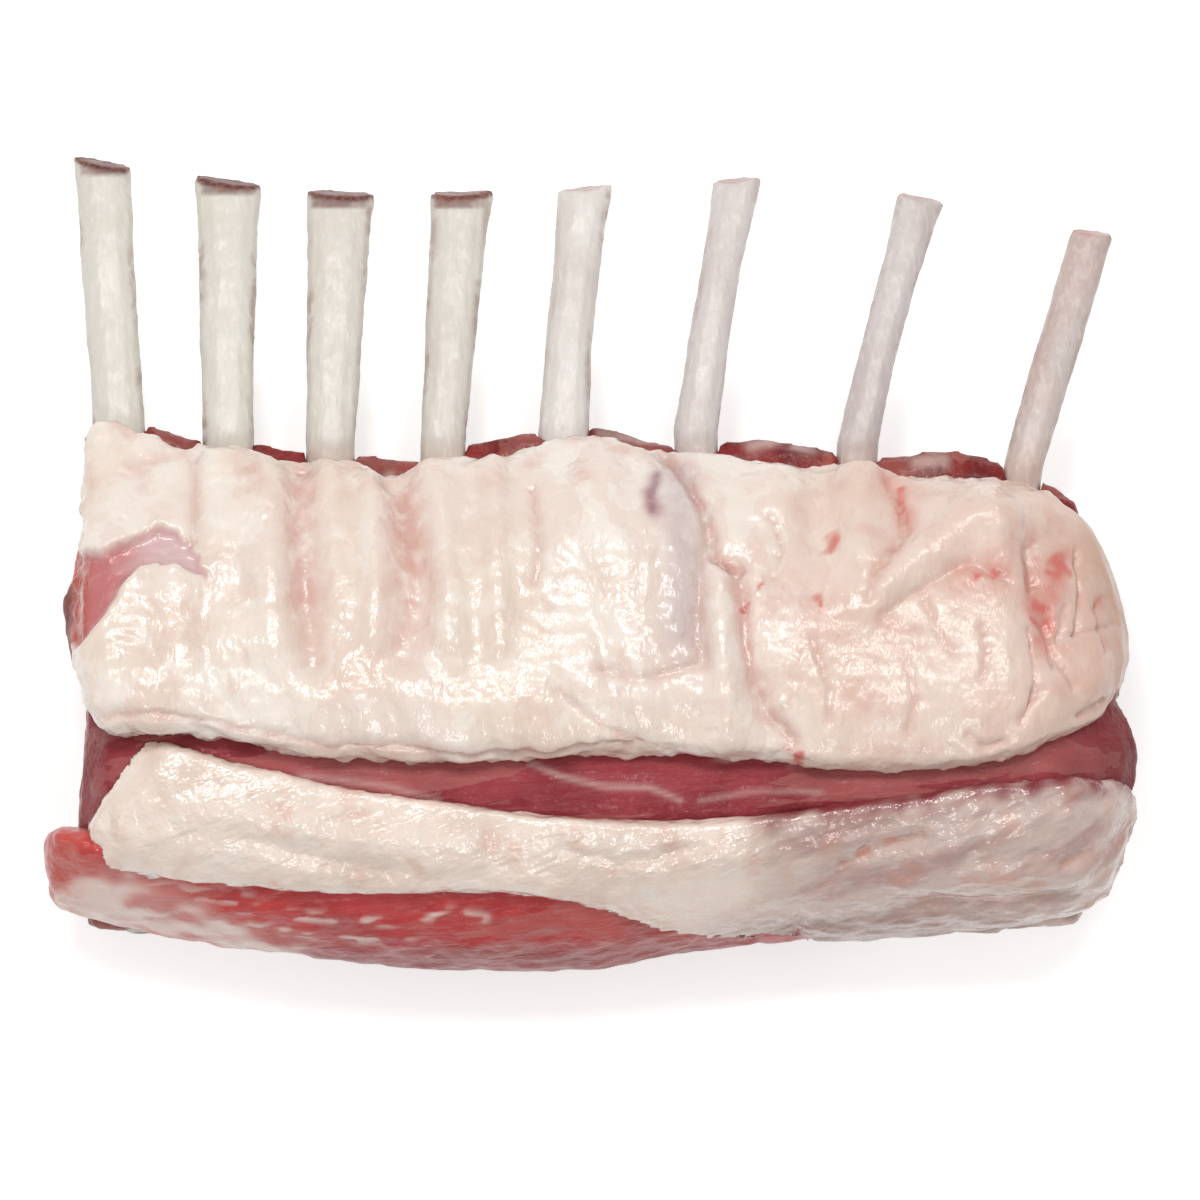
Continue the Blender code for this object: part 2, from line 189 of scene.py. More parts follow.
class Surface:
    """A Principled material built up from masks and noise."""

    def __init__(self, name, base, roughness, wet, wet_roughness, bleed, depth):
        self.material = bpy.data.materials.new(name)
        self.material.use_nodes = True
        self.tree = self.material.node_tree
        self.shader = self.tree.nodes["Principled BSDF"]
        self.place = self.tree.nodes.new("ShaderNodeTexCoord").outputs["Object"]
        inputs = self.shader.inputs
        inputs["Roughness"].default_value = roughness
        inputs["Coat Weight"].default_value = wet
        inputs["Coat Roughness"].default_value = wet_roughness
        inputs["Coat IOR"].default_value = 1.42
        inputs["Specular IOR Level"].default_value = 0.5
        inputs["Subsurface Weight"].default_value = bleed
        inputs["Subsurface Radius"].default_value = (1.0, 0.45, 0.3)
        inputs["Subsurface Scale"].default_value = depth * MM
        start = self.tree.nodes.new("ShaderNodeRGB")
        start.outputs[0].default_value = base
        self.tint = start.outputs[0]
        self.lift = None

    def link(self, a, b):
        self.tree.links.new(a, b)

    def node(self, kind, **values):
        made = self.tree.nodes.new(kind)
        for name, value in values.items():
            setattr(made, name, value)
        return made

    def mask(self, name):
        """A mask stored on the mesh."""
        return self.node("ShaderNodeAttribute", attribute_name=name).outputs["Fac"]

    def spread(self, source, low, high):
        """Brings low..high of a value to 0..1."""
        made = self.node("ShaderNodeMapRange", interpolation_type="SMOOTHSTEP")
        self.link(source, made.inputs["Value"])
        made.inputs["From Min"].default_value = low
        made.inputs["From Max"].default_value = high
        return made.outputs["Result"]

    def noise(self, length, low=0.4, high=0.6, stretch=(1, 1, 1), turn=0.0, detail=4.0, seed=0.0):
        """Noise with features of a length in millimetres, spread to 0..1."""
        moved = self.node("ShaderNodeMapping", vector_type="TEXTURE")
        self.link(self.place, moved.inputs["Vector"])
        moved.inputs["Location"].default_value = (seed * MM, seed * 2 * MM, seed * MM)
        moved.inputs["Rotation"].default_value = (0, 0, math.radians(turn))
        moved.inputs["Scale"].default_value = stretch
        made = self.node("ShaderNodeTexNoise")
        self.link(moved.outputs["Vector"], made.inputs["Vector"])
        made.inputs["Scale"].default_value = 1 / (length * MM)
        made.inputs["Detail"].default_value = detail
        return self.spread(made.outputs["Fac"], low, high)

    def times(self, *values):
        """The product of values, each a socket or a number."""
        result = values[0]
        for value in values[1:]:
            made = self.node("ShaderNodeMath", operation="MULTIPLY")
            for socket, item in zip(made.inputs, (result, value)):
                if isinstance(item, (int, float)):
                    socket.default_value = item
                else:
                    self.link(item, socket)
            result = made.outputs[0]
        return result

    def paint(self, tint, amount):
        """Blends a colour over what is there."""
        made = self.node("ShaderNodeMix", data_type="RGBA")
        if isinstance(amount, (int, float)):
            made.inputs[0].default_value = amount
        else:
            self.link(amount, made.inputs[0])
        self.link(self.tint, made.inputs[6])
        made.inputs[7].default_value = tint
        self.tint = made.outputs[2]

    def bump(self, height, depth):
        """Adds fine relief of a depth in millimetres."""
        made = self.node("ShaderNodeBump")
        made.inputs["Strength"].default_value = 1
        made.inputs["Distance"].default_value = depth * MM
        self.link(height, made.inputs["Height"])
        if self.lift is not None:
            self.link(self.lift, made.inputs["Normal"])
        self.lift = made.outputs["Normal"]

    def rough(self, source, low, high):
        """Roughness between low and high, by a 0..1 value."""
        made = self.node("ShaderNodeMapRange")
        self.link(source, made.inputs["Value"])
        made.inputs["To Min"].default_value = low
        made.inputs["To Max"].default_value = high
        self.link(made.outputs["Result"], self.shader.inputs["Roughness"])

    def wetness(self, source, low, high):
        """Wet film between low and high, by a 0..1 value."""
        made = self.node("ShaderNodeMapRange")
        self.link(source, made.inputs["Value"])
        made.inputs["To Min"].default_value = low
        made.inputs["To Max"].default_value = high
        self.link(made.outputs["Result"], self.shader.inputs["Coat Weight"])

    def done(self):
        self.link(self.tint, self.shader.inputs["Base Color"])
        if self.lift is not None:
            self.link(self.lift, self.shader.inputs["Normal"])
            self.link(self.lift, self.shader.inputs["Coat Normal"])
        return self.material


# --- materials -----------------------------------------------------------------------


def fat_surface():
    """Fat with pink creases, blood spots and a window on the muscle below."""
    fat = Surface("fat", colour(236, 225, 215), 0.4, 0.9, 0.16, 0.1, 1.2)
    fat.paint(colour(227, 208, 192), fat.times(fat.noise(26, 0.42, 0.62), 0.8))
    fat.paint(colour(221, 197, 181), fat.times(fat.noise(9, 0.5, 0.68, seed=31), 0.45))
    fat.paint(colour(240, 231, 223), fat.times(fat.noise(6, 0.5, 0.7, seed=57), 0.5))
    fat.paint(colour(214, 178, 160), fat.times(fat.mask("dull"), 0.8))
    # The pink mask also carries painted shade: the thin line down the bottom of each sharp groove.
    fat.paint(colour(206, 152, 140), fat.times(fat.mask("pink"), fat.noise(4, 0.25, 0.6), 0.95))
    veins = fat.times(fat.noise(13, 0.505, 0.494, stretch=(1, 2.2, 1), detail=6), 0.18)
    fat.paint(colour(210, 164, 150), veins)
    fat.paint(colour(197, 181, 182), fat.times(fat.mask("grey"), 0.75))
    # A dark purple line down the narrow crease beside the grey streak.
    fat.paint(colour(140, 84, 102), fat.mask("dark_crease"))
    fat.paint(colour(204, 98, 88), fat.mask("blood"))
    fat.paint(colour(192, 112, 112), fat.mask("meat"))
    fat.paint(colour(216, 188, 188), fat.times(fat.mask("meat"), fat.mask("film"), 0.9))
    fat.paint(colour(178, 84, 70), fat.times(fat.mask("meat"), fat.mask("end")))
    fat.paint(colour(186, 150, 130), fat.times(fat.mask("shade"), 0.85))
    fat.rough(fat.noise(7, 0.35, 0.65, seed=11), 0.3, 0.48)
    fat.wetness(fat.mask("dull"), 0.95, 0.15)
    fat.bump(fat.noise(9, 0.2, 0.8, seed=3, detail=2), 0.5)
    fat.bump(fat.noise(2.6, 0.3, 0.7, stretch=(1, 1.8, 1), seed=9, detail=3), 0.14)
    fat.bump(fat.noise(1.2, 0.3, 0.7, stretch=(1, 2, 1), seed=19, detail=2), 0.04)
    return fat.done()


def silverskin_surface():
    """The chine side: creamy fat that turns into streaked silverskin."""
    band = Surface("silverskin", colour(236, 219, 207), 0.36, 0.9, 0.11, 0.1, 1.2)
    band.paint(colour(219, 198, 184), band.times(band.noise(18, 0.42, 0.62), 0.7))
    band.paint(colour(235, 225, 215), band.times(band.noise(6, 0.5, 0.7, seed=21), 0.6))
    band.paint(colour(198, 174, 166), band.times(band.mask("silver"), 0.85))
    streaks = band.noise(6, 0.46, 0.66, stretch=(3.4, 1, 1), turn=22, seed=41)
    band.paint(colour(170, 130, 124), band.times(band.mask("silver"), streaks, 0.7))
    glints = band.noise(3.2, 0.54, 0.72, stretch=(3, 1, 1), turn=26, seed=77)
    band.paint(colour(216, 200, 193), band.times(band.mask("silver"), glints, 0.45))
    band.paint(colour(204, 134, 110), band.times(band.mask("pink"), band.noise(3, 0.3, 0.6), 0.9))
    band.paint(colour(132, 48, 56), band.mask("meat"))
    band.paint(colour(132, 88, 80), band.times(band.mask("shade"), 0.8))
    band.rough(band.noise(6, 0.35, 0.65, seed=14), 0.24, 0.42)
    band.bump(band.noise(6, 0.2, 0.8, seed=2, detail=3), 0.55)
    band.bump(band.noise(2.2, 0.3, 0.7, stretch=(3, 1, 1), turn=24, seed=6), 0.14)
    return band.done()


def meat_surface(name, base, dark, pale, fibre_turn, stretch, wet=0.6, rows=0.3, shine=0.22):
    """Wet muscle; rows is the strength of its fibres and shine that of its reflections."""
    meat = Surface(name, base, 0.4, wet, 0.14, 0.1, 1.0)
    meat.shader.inputs["Specular IOR Level"].default_value = shine
    meat.paint(dark, meat.times(meat.noise(11, 0.4, 0.64), 0.7))
    fibres = meat.noise(1.1, 0.42, 0.6, stretch=stretch, turn=fibre_turn, seed=5, detail=6)
    meat.paint(pale, meat.times(fibres, rows))
    threads = meat.noise(12, 0.505, 0.497, stretch=stretch, turn=fibre_turn, seed=23, detail=5)
    meat.paint(colour(200, 140, 130), meat.times(threads, 0.22))
    meat.paint(colour(236, 220, 210), meat.times(meat.mask("pale"), 0.92))
    meat.paint(colour(206, 112, 88), meat.mask("blood"))
    meat.paint(colour(92, 44, 48), meat.times(meat.mask("shade"), 0.85))
    meat.rough(meat.noise(4, 0.35, 0.65, seed=8), 0.28, 0.5)
    meat.bump(fibres, 0.06)
    meat.bump(meat.noise(5, 0.2, 0.8, seed=4, detail=3), 0.45)
    return meat.done()


def bone_surface(name, base, tinge, cut):
    """Scraped bone; cut is the colour of its sawn ends."""
    bone = Surface(name, base, 0.5, 0.25, 0.2, 0.08, 0.8)
    bone.paint(tinge, bone.times(bone.noise(11, 0.4, 0.7, stretch=(1, 3, 1)), 0.5))
    scrapes = bone.noise(0.9, 0.45, 0.75, stretch=(1, 4, 1), seed=17)
    bone.paint(colour(238, 234, 226), bone.times(scrapes, 0.3))
    # Brown along the sides: partly tissue left on the bone, partly painted shade where the sides turn away.
    bone.paint(colour(150, 106, 92), bone.times(bone.mask("stain_and_shade"), bone.noise(3, 0.38, 0.62), 0.7))
    bone.paint(colour(206, 176, 162), bone.times(bone.mask("root"), 0.5))
    bone.paint(cut, bone.mask("marrow"))
    porous = bone.noise(0.9, 0.4, 0.62, seed=13)
    bone.paint(colour(176, 116, 100), bone.times(bone.mask("marrow"), porous, 0.35))
    bone.rough(bone.noise(4, 0.35, 0.65), 0.4, 0.62)
    bone.bump(bone.noise(4, 0.25, 0.75, stretch=(1, 3, 1), seed=29, detail=5), 0.3)
    bone.bump(scrapes, 0.03)
    return bone.done()


# --- the fat cap ---------------------------------------------------------------------

# Each stroke: height in mm (creases are negative), half width in mm, and its path.
FAT_STROKES = (
    (-0.9, 1.6, [(-74.7, 20.3), (-74.5, 4.3)]),
    (0.9, 4.5, [(-60.9, 16.5), (-59.6, 2.4), (-60.5, -14.6)]),
    (-1.3, 3.2, [(-54.3, 17.9), (-54.8, 6.2), (-53.9, -7.1), (-52.2, -19.3)]),
    (0.8, 3.0, [(-50.7, 18.4), (-48.2, 8.0), (-47.3, -7.1)]),
    (0.7, 2.6, [(-41.3, 15.6), (-40.5, 0.5), (-41.3, -14.6)]),
    (-1.5, 4.2, [(-36.4, 14.6), (-34.5, 4.3), (-33.7, -7.1), (-35.2, -17.4)]),
    (0.9, 3.6, [(-29.4, 17.5), (-27.5, 2.4), (-26.5, -14.6)]),
    (1.0, 2.6, [(-18.6, 20.3), (-17.5, 4.3), (-17.1, -15.5)]),
    (-0.9, 1.6, [(-10.9, 13.3), (-9.6, 4.3), (-10.5, -3.7)]),
    (1.7, 11.0, [(1.8, 8.0), (13.1, 5.2)]),
    (-1.7, 1.5, [
        (14.0, 20.3), (17.8, 15.6), (20.6, 10.9), (22.1, 5.2), (23.5, 0.5), (27.2, -1.4)
    ]),
    (-1.1, 1.3, [(22.1, 5.2), (20.6, 0.5), (20.1, -7.1), (20.2, -14.6), (21.2, -18.8)]),
    (-0.6, 0.9, [(12.1, 15.2), (11.6, 8.0)]),
    (1.3, 3.4, [(24.8, -4.2), (24.8, -16.5), (25.5, -32.5)]),
    (-1.5, 2.0, [
        (27.2, -1.4), (28.6, -7.1), (29.1, -14.6), (30.4, -22.1), (32.9, -27.8), (37.6, -33.5)
    ]),
    (-0.8, 1.4, [(1.8, -19.9), (9.3, -22.1), (18.7, -19.3), (21.0, -17.4)]),
    (-0.6, 1.3, [(-5.8, -24.0), (-0.1, -29.3), (9.3, -34.4)]),
    (-1.4, 3.8, [(42.9, 17.5), (42.9, 5.2)]),
    (1.3, 4.6, [(51.2, 16.0), (50.4, 2.4)]),
    (-1.1, 1.4, [
        (55.5, 15.6), (58.4, 11.8), (59.3, 6.2), (57.0, 2.0), (53.8, -2.3), (52.3, -7.1)
    ]),
    (1.5, 4.4, [(53.1, -6.7), (62.1, 1.2), (70.1, 7.3), (75.3, 8.0)]),
    (-0.9, 1.8, [(55.3, -9.3), (63.6, -3.7), (71.2, -0.1), (78.0, -2.9)]),
    (1.2, 6.0, [(77.2, 8.0), (78.7, 0.5)]),
    (-0.5, 0.8, [(63.1, -7.1), (65.0, -12.7), (67.8, -16.5)]),
    (-0.5, 0.8, [(73.5, -11.8), (74.4, -16.5), (73.5, -21.8)]),
    (-1.3, 1.8, [(82.5, 3.3), (83.8, -3.7)]),
    (-1.6, 7.0, [(85.9, 0.5), (86.7, -14.6)]),
    (-0.8, 0.9, [(86.7, -10.4), (88.2, -20.3)]),
    (-0.6, 0.8, [(90.4, -7.1), (89.5, -14.6)]),
    (-0.9, 0.9, [(92.7, 2.8), (93.8, -5.2), (92.3, -13.1)]),
    (-0.7, 0.8, [(96.1, -7.1), (97.2, -16.5)]),
    (-0.7, 0.8, [(82.9, -12.3), (84.0, -19.9), (82.9, -25.9)]),
    (-0.6, 0.8, [(88.9, -17.4), (91.2, -24.0)]),
    (-0.6, 0.9, [(33.8, 8.0), (36.1, 2.8), (34.2, -3.3)]),
    (-0.5, 0.8, [(41.8, -14.6), (45.2, -24.0), (44.4, -29.7)]),
    (-0.5, 0.9, [(59.3, -18.4), (61.2, -25.9), (59.3, -32.5)]),
    (-0.5, 0.8, [(90.4, -13.8), (98.4, -11.6)]),
    (-0.9, 1.1, [(80.6, -30.1), (84.0, -24.8)]),
    (-0.8, 1.3, [(70.6, -32.5), (73.8, -35.0), (77.2, -33.8)]),
    (-1.0, 1.0, [(91.9, -28.9), (96.1, -25.9)]),
    (-0.6, 0.8, [
        (-91.6, -28.8), (-81.3, -28.2), (-69.9, -30.1), (-58.6, -32.5), (-49.2, -34.4),
        (-36.0, -34.4), (-20.9, -35.7), (-5.8, -35.4), (1.8, -33.8), (7.8, -34.6)
    ]),
    (-0.7, 5.0, [(-83.1, -14.6), (-68.1, -7.1)]),
    (0.8, 9.0, [(-17.1, -25.9), (-49.2, -24.0)]),
)
# Grooves narrower than this, in mm, have a sharp bottom with a pink line in it: partly pink tissue, partly
# painted shade in the groove.
SHARP = 2.5
# Each stroke: strength from 0 to 1, half width in mm, and its path.
PINK_STROKES = (
    (0.75, 3.4, [(-54.8, 16.5), (-54.8, 6.2), (-53.7, -7.1)]),
    (0.45, 3.0, [(-53.7, -7.1), (-52.2, -18.4)]),
    (0.85, 3.6, [(-35.6, 12.8), (-34.3, 3.3), (-33.9, -5.2)]),
    (0.5, 3.4, [(-33.9, -5.2), (-35.2, -15.5)]),
    (0.35, 1.6, [(-74.7, 19.4), (-74.5, 4.3)]),
    (0.7, 2.2, [(27.8, -4.2), (29.3, -14.6), (30.8, -22.1), (33.5, -28.2), (37.6, -33.8)]),
    (0.9, 1.6, [(14.6, 19.7), (18.4, 14.8), (21.0, 9.9), (22.3, 4.6), (23.6, 0.5), (27.4, -1.8)]),
    (0.5, 1.6, [(20.6, 0.5), (20.2, -14.6), (21.4, -18.8)]),
    (0.9, 1.5, [(55.3, 15.2), (58.4, 11.4), (59.3, 6.2), (56.9, 1.6), (53.5, -2.9)]),
    (0.7, 3.5, [(70.1, -2.9), (78.0, -2.5)]),
    (0.4, 8.0, [(96.1, 0.5), (98.0, -14.6)]),
    (1.0, 3.4, [(82.5, 3.3), (83.8, -4.0), (85.7, -8.0)]),
    (0.8, 3.0, [(89.7, 1.2), (86.7, -7.1), (85.5, -13.1)]),
    (0.5, 5.0, [(85.7, 0.5), (87.0, -14.6)]),
    (0.4, 7.0, [(33.8, -7.1), (43.3, -10.8)]),
    (0.45, 1.2, [(63.1, -7.1), (65.0, -12.7), (67.8, -16.5)]),
    (0.45, 1.2, [(73.5, -11.8), (74.4, -16.5), (73.5, -21.8)]),
    (0.4, 1.6, [(1.8, -19.9), (9.3, -22.1), (18.7, -19.3)]),
    (0.5, 1.5, [(38.2, -34.4), (38.6, -38.2)]),
    (0.5, 2.6, [(94.6, -25.9), (99.5, -14.6), (98.4, 0.5)]),
    (0.45, 1.0, [
        (-91.6, -28.9), (-81.3, -28.4), (-69.9, -30.3), (-58.6, -32.7), (-49.2, -34.6),
        (-36.0, -34.6), (-20.9, -35.9), (-5.8, -35.5)
    ]),
    (0.35, 1.3, [(-10.9, 13.3), (-9.6, 4.3), (-10.5, -3.7)]),
)
# Where the fat has drawn back from the muscle under it, at the left end.
WINDOW = [
    (-98.2, 1.2), (-95.6, 1.6), (-92.6, 1.2), (-88.8, 3.1), (-85.0, 5.0), (-81.3, 6.5),
    (-78.1, 5.4), (-75.2, 3.3), (-72.4, -2.7), (-74.7, -2.0), (-77.5, -0.1), (-81.3, 0.3),
    (-85.0, -0.6), (-87.7, -3.5), (-89.8, -7.1), (-94.1, -12.7), (-96.4, -15.5),
    (-98.6, -14.6)
]
# Each dot: x, y and radius, in mm.
BLOOD_DOTS = (
    (42.3, -7.1, 1.5), (43.1, -8.6, 0.9), (29.1, -8.2, 0.9), (31.9, -4.8, 0.6),
    (45.2, 4.3, 2.1), (59.3, 13.1, 1.7), (58.0, 10.7, 0.9), (88.6, 0.9, 2.3), (90.4, -1.0, 1.7),
    (85.9, -7.1, 1.9), (87.0, -11.2, 1.1), (84.0, -9.3, 0.9), (96.7, -7.1, 0.9),
    (71.6, -2.7, 1.1), (75.7, -2.5, 0.9), (85.9, -6.7, 1.3), (38.9, -37.2, 0.9),
    (37.6, -35.7, 0.6),
)

# Strength, half width and path, as for the pink strokes.
BLOOD_STROKES = (
    (0.45, 2.4, [(89.3, 2.0), (88.2, -3.3), (86.7, -8.9), (86.3, -15.5)]),
    (0.4, 2.0, [(83.6, -6.7), (85.5, -9.3)]),
    (0.3, 2.6, [(56.5, 15.6), (58.9, 11.8), (59.9, 8.0)]),
    (0.25, 3.0, [(70.6, -2.7), (76.3, -2.1)]),
)


def make_fat_cap():
    """The large fat over the ribs, with lobes, creases and the worn window."""
    piece, spots, facing = skin("fat_cap", 0.68, 0.16, 3)
    flat = spots[:, :2]
    torn = flat + np.stack([waves(spots, 5, 17), waves(spots, 5, 18)], 1)
    relief = np.zeros(len(spots))
    bent = flat + 0.35 * np.stack([waves(spots, 4, 47), waves(spots, 4, 48)], 1)
    for height, width, path in FAT_STROKES:
        sharp = height < 0 and width < SHARP
        relief += height * (crease(bent, 0.8 * width, path) if sharp else stroke(flat, width, path))
    relief = 1.8 * relief + 0.6 * waves(spots, 24, 3)
    lobes = 1.1 * np.abs(waves(spots, 15, 4, (1, 2.6, 1))) + 0.18 * np.abs(waves(spots, 6, 5))
    relief += lobes * (1 - 0.55 * smooth(20, 50, flat[:, 0]))
    window = within(flat + 0.5 * waves(spots, 4, 14)[:, None], WINDOW, 0.7)
    relief = relief * (1 - window) + window * (0.3 * np.abs(waves(spots, 4, 49, (2, 1, 1))) - 1.5)
    upward = smooth(0.0, 0.5, facing[:, 2])
    side = 1 - upward
    ragged = 0.8 * waves(spots, 6, 8) + 0.45 * waves(spots, 2.6, 9)
    ragged *= 1 - 0.85 * smooth(82, 92, flat[:, 0])
    spots = spots + facing * (relief * upward + ragged * side * 0.8)[:, None]

    pink = np.zeros(len(spots))
    for amount, width, path in PINK_STROKES:
        pink = np.maximum(pink, amount * stroke(flat, width, path))
    # Partly pink tissue, partly painted shade: a thin pink line down the bottom of each sharp groove.
    for height, width, path in FAT_STROKES:
        if height < 0 and width < SHARP:
            pink = np.maximum(pink, 0.5 * stroke(bent, 0.7, path))
    # Towards the bared bones the fat thins out over the meat.
    edge = smooth(9, 17, flat[:, 1]) * smooth(-0.2, 0.55, waves(spots, 7, 12, (1, 1.5, 1)))
    pink = np.maximum(pink, 0.4 * edge)
    pink = np.maximum(pink, 0.5 * smooth(0.2, 1.0, waves(spots, 17, 13)) * smooth(20, 60, flat[:, 0]))
    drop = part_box("fat_cap")[1].z / MM - spots[:, 2]
    shade = smooth(90, 99, flat[:, 0]) * smooth(8, 26, drop)
    blood = 0.85 * dots(torn, BLOOD_DOTS) * smooth(-1.6, 0.2, waves(spots, 3, 19))
    for amount, width, path in BLOOD_STROKES:
        blood = np.maximum(blood, amount * stroke(torn, width, path))
    masks = {
        "pink": pink,
        "grey": 0.9 * stroke(flat, 4.2, [(16.1, 15.6), (17.2, 0.5), (16.9, -14.6)]),
        "blood": blood,
        # A dark purple line down the narrow crease there.
        "dark_crease": 0.75 * stroke(0.4 * torn + 0.6 * flat, 1.4, [
            (12.5, 15.6), (11.2, 11.8), (12.1, 8.0)
        ]),
        "end": smooth(-93.5, -97, flat[:, 0]) * smooth(12, 2, flat[:, 1]),
        "meat": window,
        "film": smooth(-92, -80, flat[:, 0] + 1.5 * waves(spots, 5, 15)),
        "shade": shade,
        "dull": np.maximum(
            0.55 * smooth(22, 55, flat[:, 0]), 0.85 * smooth(74, 98, flat[:, 0] + 3 * waves(spots, 14, 16))
        ),
    }
    finish_skin(piece, spots, "fat_cap", masks, fat_surface())


# --- the back fat --------------------------------------------------------------------

# Height, half width and path, as for the fat cap.
BACK_STROKES = (
    (-1.3, 1.5, [(57.4, -65.2), (65.9, -64.2), (77.2, -64.8), (84.8, -63.5), (97.6, -63.7)]),
    (-0.8, 1.2, [(39.7, -66.5), (38.9, -71.8)]),
    (-0.7, 1.2, [(69.3, -56.5), (72.7, -53.1)]),
    (-0.9, 1.4, [(47.4, -57.2), (51.8, -54.8), (62.1, -51.6)]),
    (-0.7, 1.2, [(88.6, -56.5), (96.1, -54.2), (101.8, -50.4)]),
    (0.9, 2.4, [(58.4, -59.9), (77.2, -58.0), (92.3, -58.4)]),
    (-0.6, 1.2, [(73.5, -48.6), (86.7, -44.8), (96.1, -45.2)]),
    (0.7, 3.0, [(-73.7, -44.8), (-49.2, -51.4), (-22.8, -54.2)]),
    (-0.5, 1.6, [(-64.3, -52.3), (-39.8, -58.4), (-20.9, -59.9)]),
    (0.6, 4.0, [(9.3, -58.0), (31.9, -56.1)]),
    (-0.6, 1.2, [(-5.8, -54.2), (5.5, -56.5), (20.6, -53.3)]),
)
# Strength, half width and path.
SKIN_PINK = (
    (0.95, 1.1, [(47.4, -56.9), (51.8, -54.6), (54.6, -52.9), (62.1, -51.4)]),
    (0.6, 1.2, [(70.1, -59.7), (77.2, -59.3), (84.8, -60.1)]),
    (0.5, 1.4, [(39.5, -67.1), (38.9, -71.2)]),
    (0.5, 1.3, [(58.7, -64.6), (69.7, -64.2), (84.8, -63.5)]),
    (0.4, 2.0, [(-5.8, -63.7), (9.3, -66.5), (20.6, -72.1)]),
    (0.4, 1.4, [(88.6, -56.5), (96.1, -54.2), (101.8, -50.4)]),
)


def make_back_fat():
    """The band of fat and silverskin along the chine side."""
    piece, spots, facing = skin("back_fat", 0.66, 0.16, 3)
    flat = spots[:, :2]
    relief = np.zeros(len(spots))
    for height, width, path in BACK_STROKES:
        relief += height * stroke(flat, width, path)
    silver = smooth(22, 46, flat[:, 0] + 4 * waves(spots, 14, 22))
    turned = spots @ np.array([[0.9, -0.42, 0], [0.42, 0.9, 0], [0, 0, 1.0]])
    relief += silver * (0.45 * waves(turned, 5.5, 25, (5, 1, 1)) + 0.12 * waves(turned, 2.2, 26, (4, 1, 1)))
    relief += 0.4 * waves(spots, 19, 20) + 0.18 * waves(spots, 7, 21)
    upward = smooth(-0.2, 0.4, facing[:, 2])
    ragged = 0.35 * waves(spots, 5, 28) * (1 - upward)
    spots = spots + facing * (relief * upward + ragged)[:, None]
    pink = np.zeros(len(spots))
    for amount, width, path in SKIN_PINK:
        pink = np.maximum(pink, amount * stroke(flat, width, path))
    pink = np.maximum(pink, 0.35 * smooth(0.3, 1, waves(spots, 11, 29)))
    edge = from_path(flat, [
        (28.2, -48.6), (35.7, -45.2), (48.9, -44.4), (58.4, -42.9), (65.9, -41.0),
        (77.2, -40.1), (90.4, -39.1), (103.6, -40.1)
    ])
    near = (1 - smooth(0.5, 5.5, edge + 1.6 * waves(spots, 6, 30))) * smooth(27, 37, flat[:, 0])
    masks = {
        "silver": silver,
        "pink": pink,
        "meat": near,
        "shade": smooth(-64, -71, flat[:, 1]) * smooth(10, 40, flat[:, 0]) * 0.9,
    }
    finish_skin(piece, spots, "back_fat", masks, silverskin_surface())


# --- the muscles ---------------------------------------------------------------------

# Strength, half width and path.
EYE_THREADS = (
    (0.34, 0.6, [(-11.4, -37.6), (-5.8, -40.1), (1.8, -42.0), (11.2, -42.3), (16.9, -44.8)]),
    (0.26, 0.6, [(-54.8, -40.1), (-47.3, -40.8), (-37.9, -42.1), (-28.4, -44.8)]),
    (0.4, 0.6, [(23.6, -36.5), (26.1, -36.9)]),
    (0.22, 0.6, [(20.6, -44.8), (31.9, -42.9), (43.3, -43.3)]),
)


def make_eye():
    """The eye of the loin, with a few pale threads."""
    piece, spots, facing = skin("loin_eye", 0.75, 0.16, 3)
    flat = spots[:, :2]
    relief = 0.3 * waves(spots, 13, 40, (2.5, 1, 1)) + 0.15 * waves(spots, 4, 41, (3, 1, 1))
    spots = spots + facing * relief[:, None]
    pale = np.zeros(len(spots))
    for amount, width, path in EYE_THREADS:
        pale = np.maximum(pale, amount * stroke(flat, width, path))
    silver = smooth(60, 100, flat[:, 0]) * smooth(-0.1, 0.7, waves(spots, 9, 43, (2, 1, 1)))
    pale = np.maximum(pale, 0.05 * silver)
    masks = {
        "pale": pale,
        "blood": np.zeros(len(spots)),
        "shade": np.maximum(0.5 * smooth(84, 101, flat[:, 0]), 0.25 * smooth(-86, -92, flat[:, 0])),
    }
    surface = meat_surface(
        "eye_meat",
        colour(152, 60, 66),
        colour(126, 42, 50),
        colour(164, 82, 86),
        4,
        (7, 1, 1),
        wet=0.16,
        rows=0.2,
        shine=0.08,
    )
    finish_skin(piece, spots, "loin_eye", masks, surface)


# The pale fat that covers the left end of the chine muscle.
CORNER = [
    (-102.4, -62.3), (-96.4, -61.8), (-87.9, -58.8), (-75.6, -64.0), (-62.4, -69.3),
    (-54.8, -73.1), (-54.8, -77.8), (-103.9, -69.3)
]


